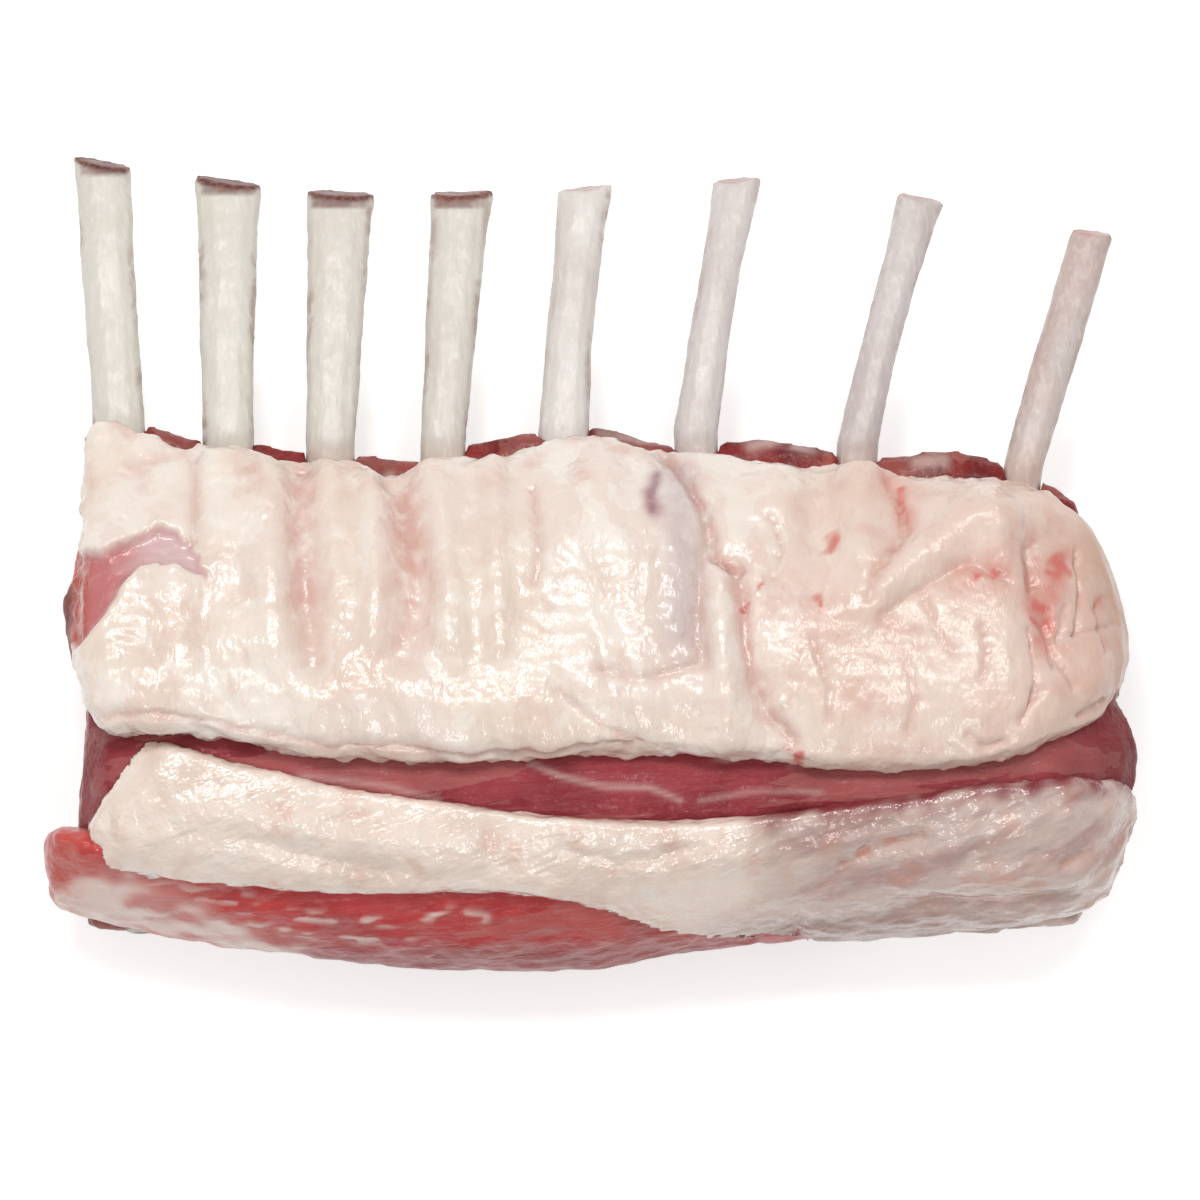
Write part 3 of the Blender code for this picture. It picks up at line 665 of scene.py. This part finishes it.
def make_chine_muscle():
    """The red muscle on the chine side, pale and mottled at its left end."""
    piece, spots, facing = skin("chine_muscle", 0.7, 0.16, 3)
    flat = spots[:, :2]
    relief = 0.4 * waves(spots, 12, 50, (2, 1, 1)) + 0.2 * waves(spots, 4, 51)
    relief -= 1.4 * smooth(0, 14, flat[:, 0])
    spots = spots + facing * relief[:, None]
    glints = 0.8 * stroke(flat, 1.4, [(-83.1, -60.8), (-75.6, -62.3), (-64.3, -63.7)])
    glints = np.maximum(glints, stroke(flat, 1.1, [
        (-66.2, -64.6), (-54.8, -66.5), (-39.8, -67.8), (-26.5, -65.9), (-20.1, -67.1)
    ]))
    glints = np.maximum(glints, stroke(flat, 0.9, [
        (-64.3, -68.4), (-49.2, -70.8), (-32.2, -71.2)
    ]))
    broken = smooth(0.0, 0.6, waves(spots, 2.6, 52, (2.5, 1, 1)))
    torn = flat + 1.2 * np.stack([waves(spots, 6, 54), waves(spots, 6, 55)], 1)
    corner = within(torn, CORNER, 3.0)
    mottle = 0.25 + 0.75 * smooth(-0.7, 0.7, waves(spots, 5, 53, (1.8, 1, 1)))
    wedge = dots(torn, ((-93.5, -65.2, 6.4), (-99.0, -64.6, 3.0)))
    wedge = np.maximum(wedge, stroke(flat, 1.3, [
        (-100.9, -48.6), (-98.2, -48.0), (-95.6, -48.9)
    ]))
    masks = {
        "pale": np.maximum.reduce([glints * broken * 0.8, corner * mottle * 0.9, wedge * 0.9]),
        "blood": 0.2 * smooth(-92, -99, flat[:, 0]),
        "shade": (1 - corner) * (0.3 * smooth(-70, -75, flat[:, 1]) + 0.25 * smooth(-62, -76, flat[:, 1])),
    }
    surface = meat_surface(
        "chine_meat", colour(192, 62, 62), colour(166, 46, 50), colour(206, 98, 92), 8, (5, 1, 1), 0.5, 0.2
    )
    finish_skin(piece, spots, "chine_muscle", masks, surface)


def make_cap_muscle():
    """The thin muscle under the fat cap, seen at the left end."""
    piece, spots, facing = skin("cap_muscle", 0.9, 0.16, 3)
    flat = spots[:, :2]
    relief = 0.4 * waves(spots, 8, 60) + 0.2 * waves(spots, 3, 61)
    spots = spots + facing * relief[:, None]
    masks = {
        "pale": 0.75 * smooth(0.0, 0.6, waves(spots, 6, 62)) * smooth(-96, -90, flat[:, 0]),
        "blood": 0.7 * smooth(-93.5, -96.5, flat[:, 0]) * smooth(-14, -4, flat[:, 1]),
        "shade": 0.9 * smooth(-96.5, -98.5, flat[:, 0]) * smooth(-2, -5, flat[:, 1]),
    }
    surface = meat_surface(
        "cap_meat", colour(196, 112, 104), colour(166, 80, 76), colour(222, 168, 156), 60, (3, 1, 1)
    )
    finish_skin(piece, spots, "cap_muscle", masks, surface)


# Strength, half width and path.
GAP_PALE = (
    (0.8, 1.2, [(30.4, 22.0), (34.8, 23.1)]),
    (0.8, 1.3, [(61.8, 19.0), (66.7, 19.0)]),
    (0.9, 1.1, [(64.4, 21.6), (66.9, 21.8)]),
    (0.7, 1.0, [(38.6, 22.0), (41.8, 21.2)]),
    (0.5, 0.9, [(1.8, 24.6), (9.3, 23.1)]),
    (0.6, 0.8, [(-38.6, 16.0), (-37.9, 16.7)]),
    (0.5, 0.8, [(-83.1, 29.6), (-78.2, 25.0)]),
)


def make_rib_meat():
    """The meat between the ribs, with a pale film on its hollow side."""
    piece, spots, facing = skin("rib_meat", 0.95, 0.1, 2)
    flat = spots[:, :2]
    relief = 0.3 * waves(spots, 9, 70) + 0.2 * waves(spots, 3.4, 71)
    spots = spots + facing * relief[:, None]
    pale = np.zeros(len(spots))
    for amount, width, path in GAP_PALE:
        pale = np.maximum(pale, amount * stroke(flat, width, path))
    # Silverskin wraps the right end of the chine side.
    pale = np.maximum(pale, 1.1 * smooth(48, 60, flat[:, 0]) * smooth(-60, -65, flat[:, 1]))
    under = smooth(-0.1, -0.6, facing[:, 2])
    film = under * (0.75 + 0.25 * waves(spots, 22, 73, (1, 2, 1)))
    masks = {
        "pale": np.maximum(0.6 * pale, 0.5 * film),
        "blood": 0.2 * (1 - under) * smooth(0.5, 1.0, waves(spots, 5, 74)),
        "shade": 0.4 * (1 - 0.7 * under) * smooth(0.2, 0.9, waves(spots, 8, 75)),
    }
    surface = meat_surface(
        "rib_meat", colour(140, 40, 38), colour(92, 24, 26), colour(160, 76, 70), 96, (4, 1, 1), 0.15, 0.2
    )
    finish_skin(piece, spots, "rib_meat", masks, surface)


# --- the ribs ------------------------------------------------------------------------

# Base colour, tinge and colour of the sawn end, for each rib from the left.
RIB_TINTS = (
    ((216, 212, 203), (214, 206, 192), (84, 34, 28)),
    ((216, 212, 203), (213, 205, 191), (84, 34, 28)),
    ((215, 210, 201), (212, 203, 191), (88, 38, 30)),
    ((213, 208, 199), (208, 198, 188), (104, 52, 42)),
    ((220, 215, 210), (204, 192, 186), (190, 172, 162)),
    ((213, 205, 202), (196, 182, 178), (190, 168, 162)),
    ((208, 200, 198), (188, 170, 168), (190, 170, 164)),
    ((200, 188, 184), (190, 154, 144), (190, 150, 140)),
)


def make_rib(number):
    """One rib, with stains and painted shade along its sides, and dark or pale at its sawn ends."""
    name = f"rib_{number}"
    piece, spots, facing = skin(name, 0.6, 0.05, 2)
    low, high = (np.array(corner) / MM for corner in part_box(name))
    # The rib's own centreline and half sizes, found slice by slice.
    stations = np.linspace(low[1] + 1, high[1] - 1.5, 40)
    slices = [spots[np.abs(spots[:, 1] - at) < 1.2] for at in stations]
    mid_x = np.interp(spots[:, 1], stations, [(s[:, 0].min() + s[:, 0].max()) / 2 for s in slices])
    mid_z = np.interp(spots[:, 1], stations, [(s[:, 2].min() + s[:, 2].max()) / 2 for s in slices])
    half_x = np.interp(spots[:, 1], stations, [np.ptp(s[:, 0]) / 2 for s in slices])
    half_z = np.interp(spots[:, 1], stations, [np.ptp(s[:, 2]) / 2 for s in slices])
    across = (spots[:, 0] - mid_x) / half_x
    lift = (spots[:, 2] - mid_z) / half_z
    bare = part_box("fat_cap")[1].y / MM - 4
    relief = 0.16 * waves(spots, 14, 80 + number) + 0.07 * waves(spots, 4, 90 + number)
    relief += 0.35 * smooth(high[1] - 9, high[1] - 1, spots[:, 1]) * np.abs(across) ** 2
    spots = spots + facing * relief[:, None]
    inside = 1 - smooth(0.72, 0.92, np.hypot(across, lift))
    tip = smooth(high[1] - 4.0, high[1] - 3.0, spots[:, 1]) * smooth(0.12, 0.42, facing[:, 1])
    # On the first four ribs the whole sawn tip has dried dark.
    dried = tip if number <= 4 else tip * inside
    sawn = smooth(low[1] + 1.4, low[1] + 0.5, spots[:, 1])
    # The sides: partly tissue left on the bone, partly painted shade where the bone turns away from above.
    sides = smooth(0.62, 0.98, np.abs(across)) * smooth(-0.9, 0.2, lift)
    patchy = smooth(-0.35, 0.45, waves(spots, 9, 100 + number, (1, 2, 1)))
    root = 1 - smooth(bare - 4, bare + 3, spots[:, 1])
    masks = {
        "marrow": np.maximum(dried, inside * sawn),
        "stain_and_shade": np.maximum(sides * patchy * 0.9, 0.3 * patchy * root),
        "root": root * (spots[:, 1] > bare - 12),
    }
    base, tinge, cut = RIB_TINTS[number - 1]
    surface = bone_surface(f"bone_{number}", colour(*base), colour(*tinge), colour(*cut))
    finish_skin(piece, spots, name, masks, surface)


# --- the studio ----------------------------------------------------------------------


FLOOR_SIZE = 6
FLOOR_GAP = 0.0002
FLOOR_GLOW = 0.46
SKY_STRENGTH = 0.47
CAMERA_REACH = 4.0
CAMERA_SHIFT = (0.00176, -0.00705)
VIEW_WIDTH = 0.2264
VIEW_HEIGHT = 0.028  # the view is that wide at this height above the floor


def make_floor():
    """A pale floor that keeps the shadow and looks white to the camera."""
    bpy.ops.mesh.primitive_plane_add(size=FLOOR_SIZE, location=(0, 0, cad_box[0][2] - FLOOR_GAP))
    floor = bpy.context.object
    floor.name = "floor"
    pale = bpy.data.materials.new("floor")
    pale.use_nodes = True
    nodes, links = pale.node_tree.nodes, pale.node_tree.links
    shader = nodes["Principled BSDF"]
    shader.inputs["Base Color"].default_value = (0.86, 0.86, 0.86, 1)
    shader.inputs["Roughness"].default_value = 0.9
    shader.inputs["Specular IOR Level"].default_value = 0.1
    seen = nodes.new("ShaderNodeLightPath")
    either = nodes.new("ShaderNodeMath")
    either.operation = "MAXIMUM"
    links.new(seen.outputs["Is Camera Ray"], either.inputs[0])
    links.new(seen.outputs["Is Glossy Ray"], either.inputs[1])
    level = nodes.new("ShaderNodeMath")
    level.operation = "MULTIPLY"
    links.new(either.outputs[0], level.inputs[0])
    level.inputs[1].default_value = FLOOR_GLOW
    shader.inputs["Emission Color"].default_value = (1, 1, 1, 1)
    links.new(level.outputs[0], shader.inputs["Emission Strength"])
    floor.data.materials.append(pale)
    return floor


def make_world():
    """Even, faintly warm light from all around."""
    world = bpy.data.worlds.new("studio")
    bpy.context.scene.world = world
    world.use_nodes = True
    sky = world.node_tree.nodes["Background"]
    sky.inputs["Color"].default_value = (1, 0.985, 0.97, 1)
    sky.inputs["Strength"].default_value = SKY_STRENGTH


def make_lamp(name, aim, where, size, power, tint=(1, 1, 1)):
    """A square soft light that faces a point."""
    light = bpy.data.lights.new(name, "AREA")
    light.shape = "RECTANGLE"
    light.size, light.size_y = size, size
    light.energy = power
    light.color = tint
    made = bpy.data.objects.new(name, light)
    bpy.context.scene.collection.objects.link(made)
    made.location = where
    away = made.location - aim
    made.rotation_euler = away.to_track_quat("Z", "Y").to_euler()


def make_camera():
    """Looks straight down from far away, with the rack filling the view."""
    low, high = cad_box
    middle = [(low[i] + high[i]) / 2 for i in range(2)]
    lens = bpy.data.cameras.new("camera")
    camera = bpy.data.objects.new("camera", lens)
    bpy.context.scene.collection.objects.link(camera)
    camera.location = (middle[0] + CAMERA_SHIFT[0], middle[1] + CAMERA_SHIFT[1], CAMERA_REACH)
    lens.sensor_width = 36
    lens.lens = lens.sensor_width * (CAMERA_REACH - VIEW_HEIGHT) / VIEW_WIDTH
    lens.clip_start = 0.01
    bpy.context.scene.camera = camera


def make_studio():
    """The floor, the lights and the camera."""
    warm = (1, 0.99, 0.98)
    aim = make_floor().location
    make_world()
    make_lamp("key", aim, (-0.24, 0.54, 1.08), 0.3, 5.0, warm)
    make_lamp("back", aim, (0.3, 0.5, 1.0), 0.24, 2.7, warm)
    make_lamp("low", aim, (0.05, -0.55, 1.1), 0.24, 1.9)
    make_lamp("side", aim, (-1.1, -0.1, 0.8), 0.5, 1.0)
    make_camera()
    bpy.context.scene.view_settings.view_transform = "Standard"


for index in range(1, 9):
    make_rib(index)
make_rib_meat()
make_eye()
make_chine_muscle()
make_cap_muscle()
make_back_fat()
make_fat_cap()
make_studio()
